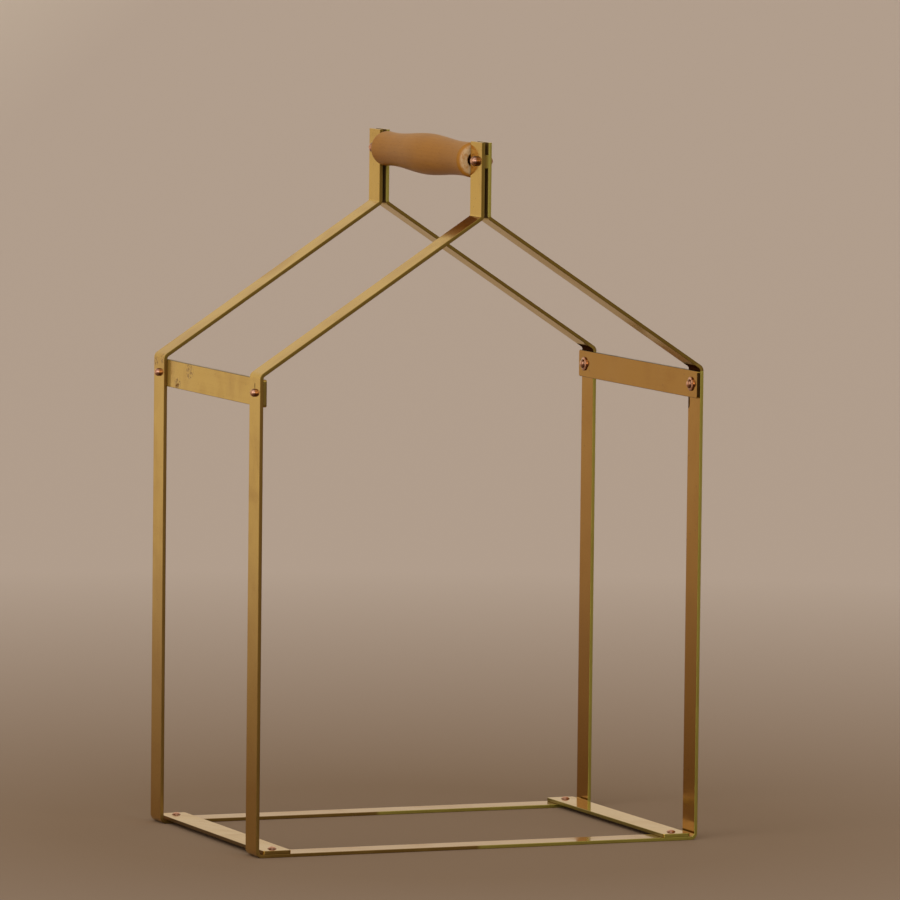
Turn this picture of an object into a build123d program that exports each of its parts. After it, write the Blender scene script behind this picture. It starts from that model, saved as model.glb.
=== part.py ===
from build123d import *
import math
import os

# Log carrier of flat brass bar. Sizes are in millimetres.
# +X is the carrier's right, -Y its front and +Z up. The origin is on the floor under its middle.

# Flat bar that both frames and the base bars are made of
bar_width = 25.0
bar_thickness = 3.0
bar_edge_round = 0.4

# The two house-shaped frames, each one bar bent on edge lines that run front to back.
# The heights are where the outer faces would cross if the bends were sharp.
frame_width = 400.0
carrier_depth = 256.0
eave_height = 402.0
roof_rise = 129.0
post_length = 62.0
foot_bend_radius = 3.0
eave_bend_radius = 3.0
shoulder_bend_radius = 2.0

# Bars that join the front frame to the rear one
eave_bar_height = 23.0
eave_bar_thickness = 3.0
base_bar_width = 25.0
base_bar_thickness = 3.0
cross_bar_end_round = 2.0
eave_bar_below_bend = 0.3
base_bar_beside_bend = 0.5

# Strap that runs through the grip, held between the two posts of each frame
strap_height = 11.0
strap_thickness = 3.0
strap_below_post_top = 15.9

# Turned wooden grip that turns on the strap
grip_middle_diameter = 35.0
grip_neck_diameter = 29.3
grip_end_diameter = 30.4
grip_neck_offset = 57.0
grip_end_round = 4.5
grip_end_gap = 2.0
grip_bore_clearance = 0.3
grip_bore_flare = 0.7

# Solid copper rivets. A head is the formed side, a tail is the hammered side.
rivet_shank_diameter = 4.8
rivet_hole_clearance = 0.05
eave_rivet_head_diameter = 6.8
eave_rivet_head_height = 4.0
eave_rivet_tail_diameter = 8.0
eave_rivet_tail_height = 2.6
burr_diameter = 12.0
burr_rim_thickness = 0.9
burr_crown_thickness = 1.6
burr_flat_diameter = 8.4
handle_rivet_head_diameter = 8.6
handle_rivet_head_height = 5.2
handle_rivet_tail_diameter = 9.0
handle_rivet_tail_height = 5.8
handle_rivet_from_end = 12.5
base_rivet_tail_diameter = 8.0
base_rivet_tail_height = 2.0
base_rivet_sink_diameter = 9.0
base_rivet_sink_depth = 2.0
base_rivet_recess = 0.2

# Places that follow from the sizes above
half_width = frame_width / 2
half_depth = carrier_depth / 2
shoulder_height = eave_height + roof_rise
post_height = shoulder_height + post_length
post_face = strap_thickness / 2 + bar_thickness
inner_wall = half_width - bar_thickness
strap_level = post_height - strap_below_post_top
strap_corner_reach = math.hypot(strap_height / 2, strap_thickness / 2)
grip_bore_radius = strap_corner_reach + grip_bore_clearance
grip_length = carrier_depth - 2 * bar_width - 2 * grip_end_gap
roof_angle = math.atan2(roof_rise, half_width - post_face)
eave_turn = math.pi / 2 - roof_angle
eave_bend_end = eave_height - (bar_thickness + eave_bend_radius) * math.tan(eave_turn / 2)
eave_bar_top = eave_bend_end - eave_bar_below_bend
eave_rivet_level = eave_bar_top - eave_bar_height / 2
frame_middle = half_depth - bar_width / 2
base_bar_outer = inner_wall - foot_bend_radius - base_bar_beside_bend
base_rivet_offset = base_bar_outer - base_bar_width / 2
handle_rivet_offset = half_depth - handle_rivet_from_end
rivet_hole_radius = rivet_shank_diameter / 2 + rivet_hole_clearance


def save(solid, node):
    """Writes one piece under its node's name."""
    solid.label = node
    export_step(solid, f"parts/{node}.step")


def parallel_path(points, distance):
    """Corners of the line that runs beside a bent line, a distance to its left."""
    moved = []
    for index, point in enumerate(points):
        before = points[max(index - 1, 0)]
        after = points[min(index + 1, len(points) - 1)]
        way_in = (point - before).normalized() if index > 0 else (after - point).normalized()
        way_out = (after - point).normalized() if index < len(points) - 1 else way_in
        side_in = Vector(-way_in.Y, way_in.X)
        side_out = Vector(-way_out.Y, way_out.X)
        mitre = (side_in + side_out).normalized()
        moved.append(point + mitre * (distance / mitre.dot(side_in)))
    return moved


def bent_frame():
    """One bar bent to a house outline: post, roof slope, upright, base and back up to the other post."""
    left = [
        Vector(-post_face, post_height),
        Vector(-post_face, shoulder_height),
        Vector(-half_width, eave_height),
        Vector(-half_width, 0),
    ]
    right = [Vector(-corner.X, corner.Y) for corner in reversed(left)]
    outer = left + right
    inner = parallel_path(outer, bar_thickness)
    bends = [shoulder_bend_radius, eave_bend_radius, foot_bend_radius]
    bends = bends + bends[::-1]
    # at the shoulders the bar bends the other way, so the tight side is the outer line
    shoulders = (0, len(bends) - 1)
    outer_radii = [r if i in shoulders else r + bar_thickness for i, r in enumerate(bends)]
    inner_radii = [r + bar_thickness if i in shoulders else r for i, r in enumerate(bends)]
    with BuildSketch(Plane.XZ) as outline:
        with BuildLine():
            FilletPolyline(*outer, radius=outer_radii)
            FilletPolyline(*inner, radius=inner_radii)
            Line(outer[0], inner[0])
            Line(outer[-1], inner[-1])
        make_face()
    bar = extrude(outline.sketch, amount=bar_width, dir=(0, 1, 0))
    long_edges = bar.edges().filter_by_position(Axis.Y, 0, 0)
    long_edges += bar.edges().filter_by_position(Axis.Y, bar_width, bar_width)
    return fillet(long_edges, bar_edge_round)


def cross_hole(x, y, z):
    """Tool that drills a rivet hole from left to right through a bar at x."""
    length = 4 * bar_thickness
    return Pos(x, y, z) * Rot(0, 90, 0) * Cylinder(rivet_hole_radius, length)


def upright_hole(x, y):
    """Tool that drills a rivet hole straight down through the base."""
    length = 4 * (bar_thickness + base_bar_thickness)
    return Pos(x, y, 0) * Cylinder(rivet_hole_radius, length)


def frame(front_edge, side):
    """A bent frame from its front edge on, drilled for its rivets; side is -1 in front and 1 behind."""
    bar = Pos(0, front_edge, 0) * bent_frame()
    middle = side * frame_middle
    wall = half_width - bar_thickness / 2
    for across in (-1, 1):
        bar -= cross_hole(across * wall, middle, eave_rivet_level)
        bar -= upright_hole(across * base_rivet_offset, middle)
        sink = Cone(base_rivet_sink_diameter / 2, rivet_hole_radius, base_rivet_sink_depth)
        bar -= Pos(across * base_rivet_offset, middle, base_rivet_sink_depth / 2) * sink
    bar -= cross_hole(0, side * handle_rivet_offset, strap_level)
    return bar


def eave_bar(side):
    """Flat bar on edge that ties the two frames under the eave; side is -1 on the left, 1 on the right."""
    blank = Box(eave_bar_thickness, carrier_depth, eave_bar_height)
    blank = fillet(blank.edges().filter_by(Axis.X), cross_bar_end_round)
    blank = fillet(edges_around(blank, Axis.X, eave_bar_thickness / 2), bar_edge_round)
    x = side * (inner_wall - eave_bar_thickness / 2)
    bar = Pos(x, 0, eave_bar_top - eave_bar_height / 2) * blank
    for end in (-1, 1):
        bar -= cross_hole(x, end * frame_middle, eave_rivet_level)
    return bar


def base_bar(side):
    """Flat bar laid on the two frames' base; side is -1 on the left, 1 on the right."""
    blank = Box(base_bar_width, carrier_depth, base_bar_thickness)
    blank = fillet(blank.edges().filter_by(Axis.Z), cross_bar_end_round)
    blank = fillet(edges_around(blank, Axis.Z, base_bar_thickness / 2), bar_edge_round)
    x = side * base_rivet_offset
    bar = Pos(x, 0, bar_thickness + base_bar_thickness / 2) * blank
    for end in (-1, 1):
        bar -= upright_hole(x, end * frame_middle)
    return bar


def edges_around(blank, axis, half_thickness):
    """Edges round the two wide faces of a flat bar that is centred on the origin."""
    edges = blank.edges()
    low = edges.filter_by_position(axis, -half_thickness, -half_thickness)
    high = edges.filter_by_position(axis, half_thickness, half_thickness)
    return low + high


def handle_strap():
    """Flat strap through the grip, with its ends between the posts."""
    strap = Pos(0, 0, strap_level) * Box(strap_thickness, carrier_depth, strap_height)
    for end in (-1, 1):
        strap -= cross_hole(0, end * handle_rivet_offset, strap_level)
    return strap


def grip():
    """Turned wooden grip: full in the middle, drawn in at two necks, with flat ends and a bore."""
    half_length = grip_length / 2
    with BuildSketch(Plane.XY) as outline:
        with BuildLine():
            shape = Spline(
                (grip_end_diameter / 2, -half_length),
                (grip_neck_diameter / 2, -grip_neck_offset),
                (grip_middle_diameter / 2, 0),
                (grip_neck_diameter / 2, grip_neck_offset),
                (grip_end_diameter / 2, half_length),
            )
            mouth = grip_bore_radius + grip_bore_flare
            Polyline(
                shape @ 1,
                (mouth, half_length),
                (grip_bore_radius, half_length - grip_bore_flare),
                (grip_bore_radius, grip_bore_flare - half_length),
                (mouth, -half_length),
                shape @ 0,
            )
        make_face()
    body = revolve(outline.sketch, Axis.Y)
    rims = body.edges().filter_by(GeomType.CIRCLE)
    rims = rims.filter_by(lambda edge: edge.radius > mouth + grip_end_round)
    body = fillet(rims, grip_end_round)
    return Pos(0, 0, strap_level) * body


def cap(base_radius, height, level, way):
    """Arc from the rim of a domed rivet end to its top, in a half profile; way is 1 up, -1 down."""
    rim = Vector(base_radius, level)
    top = Vector(0, level + way * height)
    sphere = (base_radius**2 + height**2) / (2 * height)
    centre = level + way * (height - sphere)
    lean = math.atan2(base_radius, level * way - centre * way) / 2
    half_way = Vector(sphere * math.sin(lean), centre + way * sphere * math.cos(lean))
    return ThreePointArc(rim, half_way, top)


def domed_rivet(held, upper_diameter, upper_height, lower_diameter, lower_height):
    """Rivet on the Z axis with a dome at each end of what it holds, which lies from z = 0 to held."""
    shank = rivet_shank_diameter / 2
    with BuildSketch(Plane.XY) as outline:
        with BuildLine():
            upper = cap(upper_diameter / 2, upper_height, held, 1)
            lower = cap(lower_diameter / 2, lower_height, 0, -1)
            Polyline(upper @ 0, (shank, held), (shank, 0), lower @ 0)
            Line(upper @ 1, lower @ 1)
        make_face()
    return Rot(90, 0, 0) * revolve(outline.sketch, Axis.Y)


def flush_rivet(held):
    """Rivet on the Z axis with a domed tail above z = held and a sunk head just inside z = 0."""
    shank = rivet_shank_diameter / 2
    sink = base_rivet_sink_diameter / 2 - rivet_hole_clearance
    slope = (sink - shank) / base_rivet_sink_depth
    with BuildSketch(Plane.XY) as outline:
        with BuildLine():
            tail = cap(base_rivet_tail_diameter / 2, base_rivet_tail_height, held, 1)
            Polyline(
                tail @ 0,
                (shank, held),
                (shank, base_rivet_sink_depth),
                (sink - slope * base_rivet_recess, base_rivet_recess),
                (0, base_rivet_recess),
                tail @ 1,
            )
        make_face()
    return Rot(90, 0, 0) * revolve(outline.sketch, Axis.Y)


def eave_rivet(side, end):
    """Rivet through an upright, an eave bar and a burr: head outside, tail inside the carrier."""
    held = bar_thickness + eave_bar_thickness + burr_crown_thickness
    rivet = domed_rivet(
        held,
        eave_rivet_tail_diameter,
        eave_rivet_tail_height,
        eave_rivet_head_diameter,
        eave_rivet_head_height,
    )
    return Pos(side * half_width, end * frame_middle, eave_rivet_level) * Rot(0, -side * 90, 0) * rivet


def eave_burr(side, end):
    """Copper washer under a rivet's tail, thicker round its hole than at its rim."""
    with BuildSketch(Plane.XY) as outline:
        with BuildLine():
            Polyline(
                (rivet_hole_radius, 0),
                (burr_diameter / 2, 0),
                (burr_diameter / 2, burr_rim_thickness),
                (burr_flat_diameter / 2, burr_crown_thickness),
                (rivet_hole_radius, burr_crown_thickness),
                (rivet_hole_radius, 0),
            )
        make_face()
    washer = Rot(90, 0, 0) * revolve(outline.sketch, Axis.Y)
    x = side * (inner_wall - eave_bar_thickness)
    return Pos(x, end * frame_middle, eave_rivet_level) * Rot(0, -side * 90, 0) * washer


def handle_rivet(end):
    """Rivet through both posts and the strap between them: head on the left, tail on the right."""
    rivet = domed_rivet(
        2 * post_face,
        handle_rivet_head_diameter,
        handle_rivet_head_height,
        handle_rivet_tail_diameter,
        handle_rivet_tail_height,
    )
    return Pos(post_face, end * handle_rivet_offset, strap_level) * Rot(0, -90, 0) * rivet


def base_rivet(side, end):
    """Rivet through a base bar and the frame under it, flush with the floor side."""
    rivet = flush_rivet(bar_thickness + base_bar_thickness)
    return Pos(side * base_rivet_offset, end * frame_middle, 0) * rivet


os.makedirs("parts", exist_ok=True)
save(frame(-half_depth, -1), "front_frame")
save(frame(half_depth - bar_width, 1), "rear_frame")
save(handle_strap(), "handle_strap")
save(grip(), "grip")
for end, end_name in ((-1, "front"), (1, "rear")):
    save(handle_rivet(end), f"{end_name}_handle_rivet")
for side, side_name in ((-1, "left"), (1, "right")):
    save(eave_bar(side), f"{side_name}_eave_bar")
    save(base_bar(side), f"{side_name}_base_bar")
    for end, end_name in ((-1, "front"), (1, "rear")):
        save(eave_rivet(side, end), f"{end_name}_{side_name}_eave_rivet")
        save(eave_burr(side, end), f"{end_name}_{side_name}_eave_burr")
        save(base_rivet(side, end), f"{end_name}_{side_name}_base_rivet")
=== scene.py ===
import math

import bmesh
import bpy
from mathutils import Matrix, Vector


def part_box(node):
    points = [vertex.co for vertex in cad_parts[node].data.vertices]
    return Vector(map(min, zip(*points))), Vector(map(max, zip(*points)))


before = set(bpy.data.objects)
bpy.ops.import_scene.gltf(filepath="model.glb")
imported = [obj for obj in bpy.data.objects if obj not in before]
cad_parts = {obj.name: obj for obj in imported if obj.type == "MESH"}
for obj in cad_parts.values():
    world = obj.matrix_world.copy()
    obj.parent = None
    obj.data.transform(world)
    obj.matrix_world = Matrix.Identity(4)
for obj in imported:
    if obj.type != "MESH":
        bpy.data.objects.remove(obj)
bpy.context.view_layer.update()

# The looks of a brass log carrier: drawn brass bar, hammered copper rivets and a turned wooden grip.
# Lengths are in metres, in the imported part's frame: +X right, -Y front, +Z up.

# Camera, as fitted to the photograph
image_width_px = 900
focal_length_px = 8342.7
camera_azimuth = math.radians(-22.086)
camera_elevation = math.radians(4.892)
camera_roll = math.radians(0.636)
camera_distance = 7.0975
camera_target = Vector((0.02171, 0.0, 0.32494))

# Light and surroundings
key_light_from = Vector((-0.45, -0.95, 0.50))
key_light_strength = 2.5
key_light_angle = math.radians(110)
window_light_from = Vector((-0.373, -0.924, 0.12))
window_light_strength = 0.6
window_light_angle = math.radians(30)
floor_radius = 60.0
near_floor_ends = 0.3
far_floor_starts = 2.2
# the side the daylight falls on, level left in the photograph
lit_side = (-0.926621, 0.375998, 0.0)
lit_floor_starts = 1.0
lit_floor_ends = 3.0
near_floor_colour = "#806B57"
far_floor_colour = "#B5A69B"
lit_floor_colour = "#D5C9B9"
sky_back_colour = "#D5C6AF"
sky_front_colour = "#8E7F6B"
sky_top_colour = "#C2BAAE"

# Places on the carrier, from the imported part
frame_low, frame_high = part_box("front_frame")
rivet_low, rivet_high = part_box("front_left_eave_rivet")
burr_low, burr_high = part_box("front_left_eave_burr")
handle_rivet_low, handle_rivet_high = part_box("front_handle_rivet")
base_rivet_low, base_rivet_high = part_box("front_right_base_rivet")
eave_bar_low, eave_bar_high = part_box("right_eave_bar")
base_bar_low, base_bar_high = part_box("right_base_bar")
strap_low, strap_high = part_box("handle_strap")
grip_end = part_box("grip")[1].y
eave_rivet_centre = (rivet_low + rivet_high) / 2
handle_rivet_centre = (handle_rivet_low + handle_rivet_high) / 2
base_rivet_centre = (base_rivet_low + base_rivet_high) / 2
bar_thickness = frame_high.x - eave_bar_high.x
# a frame's bar slopes between its eaves and its shoulders
post_length = 0.062
eave_height = eave_bar_high.z
shoulder_height = frame_high.z - post_length
slope_middle = (eave_height + shoulder_height) / 2
half_slope = (shoulder_height - eave_height) / 2
# a half size that takes in the whole carrier
everywhere = 1.0


def linear(colour):
    """Linear RGBA of an sRGB hex colour."""
    channels = [int(colour[i : i + 2], 16) / 255 for i in (1, 3, 5)]
    return [c / 12.92 if c <= 0.04045 else ((c + 0.055) / 1.055) ** 2.4 for c in channels] + [1.0]


def add(tree, kind, inputs=None, **settings):
    """Adds a node. Settings are its properties, and inputs are plain values or output sockets to link."""
    made = tree.nodes.new("ShaderNode" + kind)
    for name, value in settings.items():
        setattr(made, name, value)
    for key, value in (inputs or {}).items():
        if isinstance(value, bpy.types.NodeSocket):
            tree.links.new(value, made.inputs[key])
        else:
            made.inputs[key].default_value = value
    return made


def new_material(name):
    """An empty material with its node tree and its shader."""
    material = bpy.data.materials.new(name)
    material.use_nodes = True
    tree = material.node_tree
    tree.nodes.clear()
    shader = add(tree, "BsdfPrincipled")
    add(tree, "OutputMaterial", {"Surface": shader.outputs["BSDF"]})
    return material, tree, shader


def layered(tree, colour, *layers):
    """Socket of a colour with others laid over it in turn, each a (share from 0 to 1, colour)."""
    for share, over in layers:
        colour = add(tree, "Mix", {0: share, 6: colour, 7: over}, data_type="RGBA").outputs[2]
    return colour


def edge_share(tree, place, middle, half_size):
    """Socket that is 1 on the narrow edges of a flat bar and 0 on its faces.

    The bar and its mirror image lie round a middle, with a half size along each axis.
    """
    mirrored = add(tree, "VectorMath", {0: place}, operation="ABSOLUTE").outputs[0]
    offset = add(tree, "VectorMath", {0: mirrored, 1: middle}, operation="SUBTRACT").outputs[0]
    distance = add(tree, "VectorMath", {0: offset}, operation="ABSOLUTE").outputs[0]
    inside = add(tree, "VectorMath", {0: distance, 1: half_size}, operation="SUBTRACT").outputs[0]
    parts = add(tree, "SeparateXYZ", {0: inside})
    widest = add(tree, "Math", {0: parts.outputs[0], 1: parts.outputs[1]}, operation="MAXIMUM").outputs[0]
    nearest = add(tree, "Math", {0: widest, 1: parts.outputs[2]}, operation="MAXIMUM").outputs[0]
    return add(tree, "MapRange", {0: nearest, 1: -0.0005, 2: -0.0001}).outputs[0]


def marks_share(tree, place, marks):
    """Socket of the strongest of some soft oval marks, each a centre, a half size and a strength."""
    share = 0.0
    for centre, half_size, strength in marks:
        offset = add(tree, "VectorMath", {0: place, 1: centre}, operation="SUBTRACT").outputs[0]
        scaled = add(tree, "VectorMath", {0: offset, 1: half_size}, operation="DIVIDE").outputs[0]
        distance = add(tree, "VectorMath", {0: scaled}, operation="LENGTH").outputs[1]
        inside = add(tree, "MapRange", {0: distance, 1: 1.05, 2: 0.80, 4: strength}).outputs[0]
        share = add(tree, "Math", {0: inside, 1: share}, operation="MAXIMUM").outputs[0]
    return share


def drawn_brass(name, line_scale, middle, half_size, inner_face, marks, left_edge, right_edge_painted_light):
    """Drawn brass bar, polished once and aged since.

    It is a warm yellow metal, nearly a mirror, with long soft lines, brown clouds where it has
    dulled and small dark spots. The faces that look into the carrier are painted a deeper gold, and all
    faces grow deeper gold towards the bottom: both are painted reflection. Faces that look down are
    painted a paler yellow, also a painted reflection. The edges are left as they were cut: olive
    brown and less shiny. line_scale is how fast the drawing lines change along each axis, per metre.
    inner_face is the distance from the middle plane inside which a face gets the painted reflection.
    marks holds two lists of places: sooty marks with painted shade and painted reflection, and brown
    stains. The left-hand and the right-hand edges differ in colour by painted light, and those of the
    slopes and of the left-hand posts are browner than both.
    """
    material, tree, shader = new_material(name)
    place = add(tree, "TexCoord").outputs["Object"]
    parts = add(tree, "SeparateXYZ", {0: place})
    sideways, up = parts.outputs[0], parts.outputs[2]

    # the drawing lines
    stretched = add(tree, "VectorMath", {0: place, 1: line_scale}, operation="MULTIPLY").outputs[0]
    lines = add(tree, "TexNoise", {"Vector": stretched, "Scale": 1.0, "Detail": 3.0}).outputs[0]
    streaks = add(tree, "MapRange", {0: lines, 1: 0.35, 2: 0.65, 4: 0.25}).outputs[0]
    # clouds of tarnish about 40 mm across
    cloudy = {"Vector": place, "Scale": 25.0, "Detail": 4.0, "Distortion": 0.6}
    clouds = add(tree, "TexNoise", cloudy).outputs[0]
    dull = add(tree, "MapRange", {0: clouds, 1: 0.45, 2: 0.72, 4: 0.45}).outputs[0]
    # spots about 2 mm across, only where the noise peaks
    specks = add(tree, "TexNoise", {"Vector": place, "Scale": 420.0, "Detail": 1.0}).outputs[0]
    spots = add(tree, "MapRange", {0: specks, 1: 0.72, 2: 0.80, 4: 0.6}).outputs[0]

    # painted reflection: a deeper gold on the faces that look into the carrier, and towards the bottom of all
    # faces
    out = add(tree, "Math", {0: sideways}, operation="ABSOLUTE").outputs[0]
    inside = add(tree, "MapRange", {0: out, 1: inner_face + 0.0005, 2: inner_face, 4: 0.85}).outputs[0]
    under_eaves = add(tree, "Math", {0: up, 1: eave_height}, operation="LESS_THAN").outputs[0]
    inward = add(tree, "Math", {0: inside, 1: under_eaves}, operation="MULTIPLY").outputs[0]
    low = add(tree, "MapRange", {0: up, 1: 0.26, 2: 0.06, 4: 0.4}).outputs[0]
    painted_reflection = add(tree, "Math", {0: inward, 1: low}, operation="MAXIMUM").outputs[0]
    # painted reflection: a paler yellow on the undersides of the slopes
    facing = add(tree, "SeparateXYZ", {0: add(tree, "NewGeometry").outputs["True Normal"]}).outputs[2]
    painted_underside = add(tree, "MapRange", {0: facing, 1: -0.3, 2: -0.6, 4: 0.7}).outputs[0]

    # soot and painted shade, and stains broken into blots about 3 mm across
    soot_and_painted_light, stains = marks
    soot_and_painted_light_share = marks_share(tree, place, soot_and_painted_light)
    stain = marks_share(tree, place, stains)
    blots = add(tree, "TexNoise", {"Vector": place, "Scale": 300.0, "Detail": 2.0}).outputs[0]
    blot = add(tree, "MapRange", {0: blots, 1: 0.46, 2: 0.60}).outputs[0]
    stained = add(tree, "Math", {0: stain, 1: blot}, operation="MULTIPLY").outputs[0]

    # the cut edges, and which of them are browner; the right-hand edges take painted light
    edges = edge_share(tree, place, middle, half_size)
    right = add(tree, "MapRange", {0: sideways, 1: -0.002, 2: 0.002}).outputs[0]
    slopes = add(tree, "Math", {0: up, 1: slope_middle, 2: half_slope}, operation="COMPARE").outputs[0]
    posts = add(tree, "Math", {0: up, 1: shoulder_height}, operation="GREATER_THAN").outputs[0]
    left_post = add(tree, "Math", {0: posts, 1: right}, operation="SUBTRACT").outputs[0]
    browner = add(tree, "Math", {0: slopes, 1: left_post}, operation="MAXIMUM").outputs[0]
    cut = layered(tree, linear(left_edge), (right, linear(right_edge_painted_light)), (browner, linear("#6E5826")))

    colour = layered(
        tree,
        linear("#E0BD5F"),
        (streaks, linear("#D3AD4E")),
        (dull, linear("#B98E3B")),
        (painted_underside, linear("#E4C54E")),
        (painted_reflection, linear("#AD7915")),
        (spots, linear("#5A3D1C")),
        (stained, linear("#7A5424")),
        # soot, with painted shade and painted reflection laid on in the same dark colour
        (soot_and_painted_light_share, linear("#3A1E0C")),
        (edges, cut),
    )
    tree.links.new(colour, shader.inputs["Base Color"])
    # soot, painted shade and reflection, and stains are no metal and have no gloss
    shader.inputs["Metallic"].default_value = 1.0
    if stains:
        dirt_and_painted_light = add(tree, "Math", {0: soot_and_painted_light_share, 1: stained}, operation="MAXIMUM").outputs[0]
        bare = add(tree, "Math", {0: 1.0, 1: dirt_and_painted_light}, operation="SUBTRACT").outputs[0]
        tree.links.new(bare, shader.inputs["Metallic"])
        gloss = add(tree, "Math", {0: bare, 1: 0.5}, operation="MULTIPLY").outputs[0]
        tree.links.new(gloss, shader.inputs["Specular IOR Level"])

    # how rough the polish is, and how much rougher each of these makes it
    rough = 0.10
    for share, more in ((dull, 0.20), (streaks, 0.16), (edges, 0.20), (soot_and_painted_light_share, 0.6)):
        rough = add(tree, "Math", {0: share, 1: more, 2: rough}, operation="MULTIPLY_ADD").outputs[0]
    tree.links.new(rough, shader.inputs["Roughness"])

    # heights in metres: waves 70 mm long from bending by hand, and the drawing lines
    waves = add(tree, "TexNoise", {"Vector": place, "Scale": 14.0, "Detail": 1.0}).outputs[0]
    wave_height = add(tree, "Math", {0: waves, 1: 0.0008}, operation="MULTIPLY").outputs[0]
    height = add(tree, "Math", {0: lines, 1: 0.000006, 2: wave_height}, operation="MULTIPLY_ADD").outputs[0]
    bump = add(tree, "Bump", {"Height": height, "Distance": 1.0, "Strength": 1.0})
    tree.links.new(bump.outputs[0], shader.inputs["Normal"])
    return material


def hammered_copper(name, centre, across, rim, crown_share, rim_shade_share):
    """Copper rivet peened with a hammer.

    It is a reddish metal with small flats from the hammer, bright on the crown, with painted shade
    darkening it towards the rim. across holds 1 for each axis that lies across the rivet.
    crown_share is how far out from the middle the bright crown reaches, and rim_shade_share how dark
    the painted shade at the rim is.
    """
    material, tree, shader = new_material(name)
    place = add(tree, "TexCoord").outputs["Object"]
    mirrored = add(tree, "VectorMath", {0: place}, operation="ABSOLUTE").outputs[0]
    middle = [abs(value) for value in centre]
    offset = add(tree, "VectorMath", {0: mirrored, 1: middle}, operation="SUBTRACT").outputs[0]
    flat = add(tree, "VectorMath", {0: offset, 1: across}, operation="MULTIPLY").outputs[0]
    radius = add(tree, "VectorMath", {0: flat}, operation="LENGTH").outputs[1]
    # painted shade: darker from the crown out to the rim of each head
    rim_shade = add(tree, "MapRange", {0: radius, 1: rim * crown_share, 2: rim * 0.98, 4: rim_shade_share}).outputs[0]
    # hammer flats about 1.5 mm across
    flats = add(tree, "TexVoronoi", {"Vector": place, "Scale": 650.0}, feature="SMOOTH_F1").outputs[0]
    tarnish = add(tree, "TexNoise", {"Vector": place, "Scale": 480.0, "Detail": 3.0}).outputs[0]
    dull = add(tree, "MapRange", {0: tarnish, 1: 0.45, 2: 0.7, 4: 0.6}).outputs[0]

    colour = layered(tree, linear("#EBB699"), (dull, linear("#A05C3C")), (rim_shade, linear("#3C1C10")))
    tree.links.new(colour, shader.inputs["Base Color"])
    shader.inputs["Metallic"].default_value = 1.0
    rough = add(tree, "Math", {0: dull, 1: 0.14, 2: 0.12}, operation="MULTIPLY_ADD").outputs[0]
    tree.links.new(rough, shader.inputs["Roughness"])
    height = add(tree, "Math", {0: flats, 1: 0.00010}, operation="MULTIPLY").outputs[0]
    bump = add(tree, "Bump", {"Height": height, "Distance": 1.0, "Strength": 1.0})
    tree.links.new(bump.outputs[0], shader.inputs["Normal"])
    return material


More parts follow.
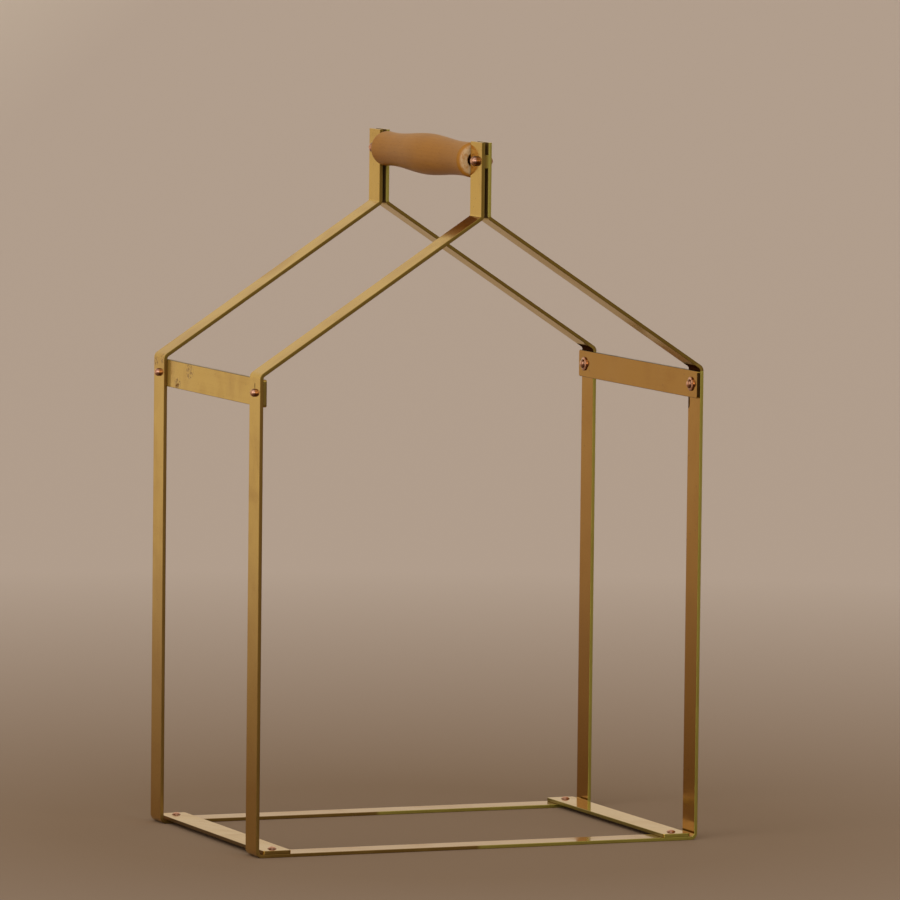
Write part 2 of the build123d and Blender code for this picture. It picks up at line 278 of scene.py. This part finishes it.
def turned_beech():
    """Beech turned on a lathe and waxed.

    The growth rings run along the grip and show as long soft bands, with the short dark flecks of
    beech between them. The hand has darkened it in patches, and the flat ends show paler end grain.
    """
    material, tree, shader = new_material("beech_turned_and_waxed")
    place = add(tree, "TexCoord").outputs["Object"]
    # the heart of the tree lies 45 mm below and to the left of the grip's axis, at a small slant
    heart = Vector((-0.030, 0.0, handle_rivet_centre.z - 0.034))
    grain = add(tree, "Mapping", {"Vector": place}, vector_type="POINT")
    grain.inputs["Location"].default_value = -heart
    grain.inputs["Rotation"].default_value = (math.radians(1.6), 0.0, math.radians(1.2))
    drift = add(tree, "TexNoise", {"Vector": place, "Scale": 18.0, "Detail": 2.0}).outputs["Color"]
    bent = add(tree, "VectorMath", {0: drift, 1: [0.004] * 3, 2: grain.outputs[0]}, operation="MULTIPLY_ADD")
    across = add(tree, "VectorMath", {0: bent.outputs[0], 1: (1.0, 0.0, 1.0)}, operation="MULTIPLY").outputs[0]
    radius = add(tree, "VectorMath", {0: across}, operation="LENGTH").outputs[1]
    ring_width = 0.0032
    turn = add(tree, "Math", {0: radius, 1: 2 * math.pi / ring_width}, operation="MULTIPLY").outputs[0]
    ring = add(tree, "Math", {0: turn}, operation="SINE").outputs[0]
    band = add(tree, "MapRange", {0: ring, 1: -0.8, 2: 1.0, 4: 0.16}).outputs[0]
    # flecks 0.7 mm wide and 9 mm long, drawn coarser than the real ones so that they show
    long_place = add(tree, "VectorMath", {0: place, 1: (1400, 110, 1400)}, operation="MULTIPLY").outputs[0]
    fleck = add(tree, "TexNoise", {"Vector": long_place, "Scale": 1.0, "Detail": 2.0}).outputs[0]
    flecks = add(tree, "MapRange", {0: fleck, 1: 0.58, 2: 0.76, 4: 0.30}).outputs[0]
    worn = add(tree, "TexNoise", {"Vector": place, "Scale": 30.0, "Detail": 3.0}).outputs[0]
    handled = add(tree, "MapRange", {0: worn, 1: 0.40, 2: 0.66, 4: 0.5}).outputs[0]
    along = add(tree, "SeparateXYZ", {0: place}).outputs[1]
    from_middle = add(tree, "Math", {0: along}, operation="ABSOLUTE").outputs[0]
    sawn = add(tree, "MapRange", {0: from_middle, 1: grip_end - 0.0012, 2: grip_end - 0.0001}).outputs[0]
    # end grain mottled by torn fibres about 2 mm across
    torn = add(tree, "TexNoise", {"Vector": place, "Scale": 480.0, "Detail": 2.0}).outputs[0]
    pale = add(tree, "MapRange", {0: torn, 1: 0.36, 2: 0.56, 3: 0.35}).outputs[0]
    end_grain = add(tree, "Math", {0: sawn, 1: pale}, operation="MULTIPLY").outputs[0]

    colour = layered(
        tree,
        linear("#9F6A20"),
        (band, linear("#875213")),
        (handled, linear("#905E1F")),
        (flecks, linear("#603812")),
        (end_grain, linear("#B79A74")),
    )
    tree.links.new(colour, shader.inputs["Base Color"])
    rough = add(tree, "Math", {0: flecks, 1: 0.25, 2: 0.42}, operation="MULTIPLY_ADD").outputs[0]
    tree.links.new(rough, shader.inputs["Roughness"])
    shader.inputs["Specular IOR Level"].default_value = 0.2
    # wax
    shader.inputs["Coat Weight"].default_value = 0.05
    shader.inputs["Coat Roughness"].default_value = 0.28

    # heights in metres: faint rings left by the turning tool, and open flecks
    tool_step = 0.0025
    tool = add(tree, "Math", {0: along, 1: 2 * math.pi / tool_step}, operation="MULTIPLY").outputs[0]
    ridge = add(tree, "Math", {0: tool}, operation="SINE").outputs[0]
    ridges = add(tree, "Math", {0: ridge, 1: 0.000005}, operation="MULTIPLY").outputs[0]
    height = add(tree, "Math", {0: flecks, 1: -0.00003, 2: ridges}, operation="MULTIPLY_ADD").outputs[0]
    bump = add(tree, "Bump", {"Height": height, "Distance": 1.0, "Strength": 1.0})
    tree.links.new(bump.outputs[0], shader.inputs["Normal"])
    return material


def dress(material, names):
    """Gives a material to CAD nodes."""
    for name in names:
        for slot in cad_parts[name].material_slots:
            slot.material = material


def places_of_marks():
    """Soot with painted shade and painted reflection, and stains, on the frames and on the eave bars, as lists
    of (centre, half size, strength).
    """
    wall = frame_high.x
    inner_wall = wall - bar_thickness
    eave = eave_bar_high.z
    front, rear = frame_low.y, -frame_low.y
    outer_face = -eave_bar_high.x
    bar_height = (eave_bar_low.z + eave) / 2
    frame_soot_and_painted_shade = [
        # painted shade in the dark gap between the posts; the posts' outer faces are just outside it
        ((0.0, 0.0, frame_high.z - 0.030), (0.0026, everywhere, 0.0900), 0.9),
        # painted shade inside the right-hand bends, over the eave bar's end
        ((wall - 0.0062, 0.0, eave + 0.0012), (0.0054, everywhere, 0.0054), 1.0),
        # a run under the right front rivet, and a tick over the left front one
        ((inner_wall, front + 0.0235, eave_bar_low.z - 0.0045), (0.0015, 0.0026, 0.0060), 0.9),
        ((-wall, eave_rivet_centre.y, eave_rivet_centre.z + 0.0058), (0.0015, 0.0011, 0.0028), 0.8),
    ]
    frame_stains = [
        # round the outside of the left rear bend
        ((-wall, rear - 0.0050, eave - 0.0020), (0.0035, 0.0050, 0.0060), 0.8),
        ((-wall, rear - 0.0200, eave + 0.0010), (0.0035, 0.0035, 0.0050), 0.9),
    ]
    bar_painted_reflection = [
        # painted reflection of the rear upright: a dark strip beside it
        ((outer_face, rear - 0.0290, bar_height), (0.0010, 0.0042, everywhere), 0.45),
    ]
    bar_stains = [
        # one low and one high near the rear end
        ((outer_face, rear - 0.0500, eave_bar_low.z + 0.0042), (0.0010, 0.0080, 0.0050), 1.0),
        ((outer_face, rear - 0.0800, eave - 0.0060), (0.0010, 0.0090, 0.0070), 0.8),
    ]
    return (frame_soot_and_painted_shade, frame_stains), (bar_painted_reflection, bar_stains)


def dress_brass():
    """Brass for the frames and cross bars, with lines that run along each bar."""
    # drawing lines 1.2 mm wide and 90 mm long; on the frames they follow the bends, because
    # the bar's width lies along Y everywhere
    fine, long = 830.0, 11.0
    bar_middle = (frame_low.y + frame_high.y) / 2
    half_bar = (frame_high.y - frame_low.y) / 2
    frame_marks, bar_marks = places_of_marks()
    no_marks = ([], [])
    # the right-hand cut edges are painted lighter, a painted reflection
    left_cut, right_cut_painted_reflection = "#72582A", "#92863E"
    frames = drawn_brass(
        "brass_drawn_frames",
        (long, fine, long),
        (0.0, abs(bar_middle), 0.0),
        (everywhere, half_bar, everywhere),
        frame_high.x - bar_thickness,
        frame_marks,
        left_cut,
        right_cut_painted_reflection,
    )
    dress(frames, ["front_frame", "rear_frame"])
    for name, low, high, thin, marks, left_edge, right_edge_painted_light in (
        # the right-hand eave bar's edges are painted dark, a painted shade from the bend above
        ("eave_bar", eave_bar_low, eave_bar_high, 0, bar_marks, "#6E5A2A", "#3A2812"),
        ("base_bar", base_bar_low, base_bar_high, 2, no_marks, left_cut, right_cut_painted_reflection),
        ("strap", strap_low, strap_high, 0, no_marks, left_cut, right_cut_painted_reflection),
    ):
        middle = (low + high) / 2
        half_size = (high - low) / 2
        half_size[thin] = everywhere
        material_name = "brass_drawn_" + name.removesuffix("_bar")
        bars = drawn_brass(
            material_name, (fine, long, fine), middle, half_size, low.x, marks, left_edge, right_edge_painted_light
        )
        dress(bars, [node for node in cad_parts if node.endswith(name)])


def dress_copper():
    """Copper for the rivets and burrs, with painted shade darkening each towards its rim."""
    flat_x, flat_z = (0, 1, 1), (1, 1, 0)
    for name, centre, across, low, high, crown_share, rim_shade_share in (
        ("eave_rivet", eave_rivet_centre, flat_x, rivet_low, rivet_high, 0.50, 0.90),
        ("eave_burr", eave_rivet_centre, flat_x, burr_low, burr_high, 0.85, 0.60),
        ("handle_rivet", handle_rivet_centre, flat_x, handle_rivet_low, handle_rivet_high, 0.40, 0.90),
        ("base_rivet", base_rivet_centre, flat_z, base_rivet_low, base_rivet_high, 0.62, 0.80),
    ):
        rim = (high.y - low.y) / 2
        copper = hammered_copper(f"copper_hammered_{name}", centre, across, rim, crown_share, rim_shade_share)
        dress(copper, [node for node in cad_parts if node.endswith(name)])


def make_floor():
    """A plain pale floor, a shade browner round the carrier than far behind it, and paler to the left with
    painted daylight.
    """
    mesh = bpy.data.meshes.new("floor")
    shape = bmesh.new()
    bmesh.ops.create_circle(shape, cap_ends=True, radius=floor_radius, segments=96)
    shape.to_mesh(mesh)
    shape.free()
    floor = bpy.data.objects.new("floor", mesh)
    bpy.context.scene.collection.objects.link(floor)
    material, tree, shader = new_material("floor_matt_paint")
    place = add(tree, "TexCoord").outputs["Object"]
    distance = add(tree, "VectorMath", {0: place}, operation="LENGTH").outputs[1]
    far = add(tree, "MapRange", {0: distance, 1: near_floor_ends, 2: far_floor_starts}).outputs[0]
    # painted light: paler on the side the daylight falls on
    toward_light = add(tree, "VectorMath", {0: place, 1: lit_side}, operation="DOT_PRODUCT").outputs[1]
    lit = add(tree, "MapRange", {0: toward_light, 1: lit_floor_starts, 2: lit_floor_ends}).outputs[0]
    layers = (far, linear(far_floor_colour)), (lit, linear(lit_floor_colour))
    colour = layered(tree, linear(near_floor_colour), *layers)
    tree.links.new(colour, shader.inputs["Base Color"])
    shader.inputs["Roughness"].default_value = 0.9
    shader.inputs["Specular IOR Level"].default_value = 0.1
    mesh.materials.append(material)


def make_light():
    """A broad soft key light and a small window that glints on the rivets, in a plain room.

    The room is paler behind the carrier than before it.
    """
    for name, comes_from, strength, angle in (
        ("key_light", key_light_from, key_light_strength, key_light_angle),
        ("window_light", window_light_from, window_light_strength, window_light_angle),
    ):
        lamp = bpy.data.lights.new(name, "SUN")
        lamp.energy = strength
        lamp.angle = angle
        sun = bpy.data.objects.new(name, lamp)
        sun.rotation_mode = "QUATERNION"
        sun.rotation_quaternion = comes_from.to_track_quat("Z", "Y")
        bpy.context.scene.collection.objects.link(sun)

    world = bpy.data.worlds.new("room")
    world.use_nodes = True
    tree = world.node_tree
    tree.nodes.clear()
    direction = add(tree, "SeparateXYZ", {0: add(tree, "TexCoord").outputs["Generated"]})
    behind = add(tree, "MapRange", {0: direction.outputs[1], 1: -0.7, 2: 0.5}).outputs[0]
    above = add(tree, "MapRange", {0: direction.outputs[2], 1: 0.35, 2: 0.95}).outputs[0]
    layers = (behind, linear(sky_back_colour)), (above, linear(sky_top_colour))
    colour = layered(tree, linear(sky_front_colour), *layers)
    background = add(tree, "Background", {"Color": colour, "Strength": 1.0})
    add(tree, "OutputWorld", {"Surface": background.outputs[0]})
    bpy.context.scene.world = world


def make_camera():
    """A long lens at the photograph's place and angle."""
    level = math.cos(camera_elevation)
    back = Vector(
        (math.sin(camera_azimuth) * level, -math.cos(camera_azimuth) * level, math.sin(camera_elevation))
    )
    right = (-back).cross(Vector((0, 0, 1))).normalized()
    up = right.cross(-back)
    rolled_right = right * math.cos(camera_roll) + up * math.sin(camera_roll)
    rolled_up = up * math.cos(camera_roll) - right * math.sin(camera_roll)
    turn = Matrix((rolled_right, rolled_up, back)).transposed().to_4x4()
    data = bpy.data.cameras.new("camera")
    data.lens = data.sensor_width * focal_length_px / image_width_px
    camera = bpy.data.objects.new("camera", data)
    camera.matrix_world = Matrix.Translation(camera_target + back * camera_distance) @ turn
    bpy.context.scene.collection.objects.link(camera)
    bpy.context.scene.camera = camera


bpy.context.scene.view_settings.view_transform = "Standard"
make_camera()
make_light()
make_floor()
dress_brass()
dress_copper()
dress(turned_beech(), ["grip"])
